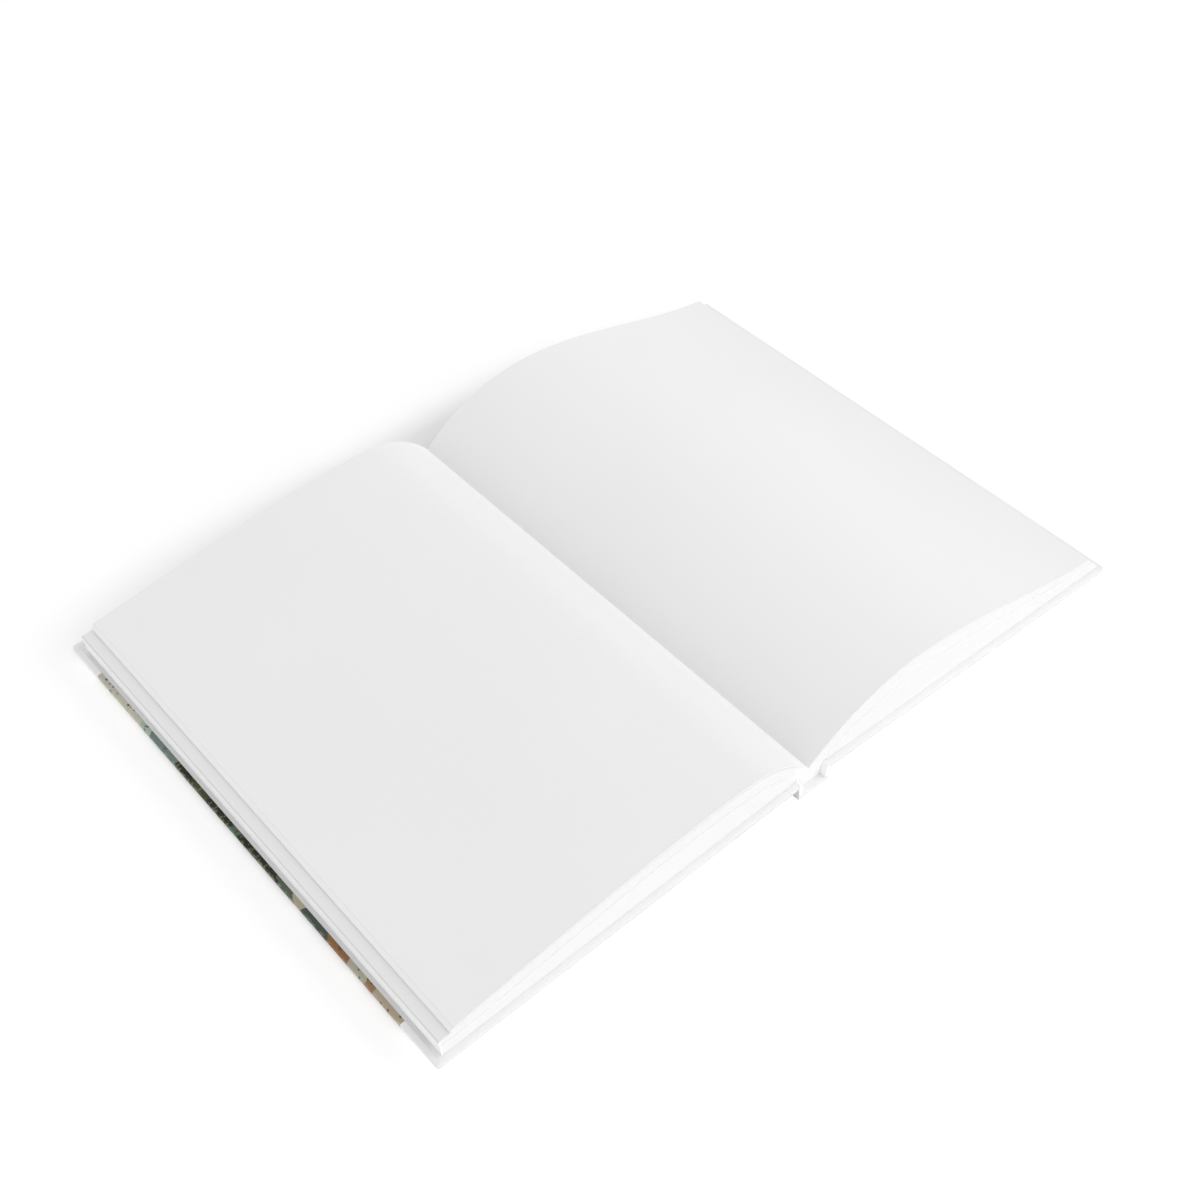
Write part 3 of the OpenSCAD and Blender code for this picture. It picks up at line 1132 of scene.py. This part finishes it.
# Floor, light and camera

def build_floor():
    half = 4.0
    mesh = bpy.data.meshes.new("floor")
    corners = [(-half, -half, 0), (half, -half, 0), (half, half, 0), (-half, half, 0)]
    mesh.from_pydata(corners, [], [(0, 1, 2, 3)])
    floor = bpy.data.objects.new("floor", mesh)
    bpy.context.scene.collection.objects.link(floor)
    material, tree, shader = new_material("pale_floor")
    shader.inputs["Base Color"].default_value = (0.90, 0.90, 0.90, 1)
    shader.inputs["Roughness"].default_value = 0.9
    shader.inputs["Specular IOR Level"].default_value = 0.1
    shader.inputs["Emission Color"].default_value = (1, 1, 1, 1)
    light_path = node(tree, "ShaderNodeLightPath")
    spot = node(tree, "ShaderNodeSeparateXYZ", {0: node(tree, "ShaderNodeTexCoord").outputs["Object"]})
    # Painted shadow on the floor past the head edge, for the camera only
    near_back = math_node(
        tree,
        "MULTIPLY",
        step_between(tree, spot.outputs["Y"], 0.132, 0.106),
        step_between(tree, spot.outputs["Y"], 0.085, 0.104),
    )
    back_span = math_node(
        tree,
        "MULTIPLY",
        step_between(tree, spot.outputs["X"], -0.20, 0.02),
        step_between(tree, spot.outputs["X"], 0.095, 0.045),
    )
    back_shadow_share = math_node(tree, "MULTIPLY", back_span, -0.24)
    back_shadow = math_node(tree, "MULTIPLY", near_back, back_shadow_share)
    # Painted light on the floor in front of the tail edge, taking out its shadow, for the camera only
    in_front = math_node(
        tree,
        "MULTIPLY",
        step_between(tree, spot.outputs["Y"], -0.086, -0.096),
        step_between(tree, spot.outputs["X"], -0.149, -0.143),
    )
    before = math_node(tree, "MULTIPLY", in_front, 0.35)
    # Painted light on the floor by the left fore edge, for the camera only
    side_light = math_node(tree, "MULTIPLY", step_between(tree, spot.outputs["X"], -0.154, -0.1445), 0.14)
    on_left = math_node(tree, "LESS_THAN", spot.outputs["X"], -0.1)
    along_side = math_node(tree, "MULTIPLY", step_between(tree, spot.outputs["Y"], 0.108, 0.094), on_left)
    left_light = math_node(tree, "MULTIPLY", side_light, along_side)
    # Even lift plus the painted light and shadow above, seen by the camera only
    end_light_and_shadow = math_node(tree, "ADD", back_shadow, before)
    side_part = math_node(tree, "ADD", left_light, FLOOR_LIFT)
    level = math_node(tree, "MAXIMUM", math_node(tree, "ADD", end_light_and_shadow, side_part), 0.0)
    glow_and_painted_shade = math_node(tree, "MULTIPLY", light_path.outputs["Is Camera Ray"], level)
    tree.links.new(glow_and_painted_shade, shader.inputs["Emission Strength"])
    facing = node(tree, "ShaderNodeNewGeometry").outputs["Backfacing"]
    clear = node(tree, "ShaderNodeBsdfTransparent")
    either = node(tree, "ShaderNodeMixShader", {0: facing, 1: shader.outputs["BSDF"], 2: clear.outputs[0]})
    output = next(n for n in tree.nodes if n.type == "OUTPUT_MATERIAL")
    tree.links.new(either.outputs[0], output.inputs["Surface"])
    mesh.materials.append(material)


def build_world():
    world = bpy.data.worlds.new("studio")
    bpy.context.scene.world = world
    world.use_nodes = True
    tree = world.node_tree
    tree.nodes.clear()
    out = tree.nodes.new("ShaderNodeOutputWorld")
    light_path = node(tree, "ShaderNodeLightPath")
    mirrored = math_node(
        tree,
        "MAXIMUM",
        light_path.outputs["Is Glossy Ray"],
        light_path.outputs["Is Transmission Ray"],
    )
    seen = math_node(tree, "MAXIMUM", light_path.outputs["Is Camera Ray"], mirrored)
    way = node(tree, "ShaderNodeSeparateXYZ", {0: node(tree, "ShaderNodeTexCoord").outputs["Generated"]})
    level = math_node(tree, "MULTIPLY_ADD", way.outputs["Z"], SKY_SLOPE[2], SKY_LEVEL)
    sideways = math_node(tree, "MULTIPLY_ADD", way.outputs["X"], SKY_SLOPE[0], level)
    lit = math_node(tree, "MULTIPLY_ADD", way.outputs["Y"], SKY_SLOPE[1], sideways)
    strength = node(tree, "ShaderNodeMix", {0: seen, 2: lit, 3: 1.0}, data_type="FLOAT").outputs[0]
    back = node(tree, "ShaderNodeBackground", {"Color": (1, 1, 1, 1), "Strength": strength})
    tree.links.new(back.outputs[0], out.inputs["Surface"])


def area_light(name, place, target, size, energy):
    data = bpy.data.lights.new(name, "AREA")
    data.shape = "DISK"
    data.size = size
    data.energy = energy
    obj = bpy.data.objects.new(name, data)
    obj.location = place
    obj.rotation_euler = (Vector(target) - Vector(place)).to_track_quat("-Z", "Y").to_euler()
    bpy.context.scene.collection.objects.link(obj)


def build_camera():
    data = bpy.data.cameras.new("camera")
    data.lens = 50
    data.sensor_width = 36
    data.clip_start = 0.01
    data.clip_end = 50
    camera = bpy.data.objects.new("camera", data)
    camera.location = CAMERA_PLACE
    camera.rotation_euler = (math.radians(CAMERA_PITCH), 0, math.radians(CAMERA_TURN))
    bpy.context.scene.collection.objects.link(camera)
    bpy.context.scene.camera = camera


build_floor()
build_world()
area_light("key", KEY_PLACE, (0, 0, 0), KEY_SIZE, KEY_ENERGY)
build_camera()
bpy.context.scene.view_settings.view_transform = "Standard"
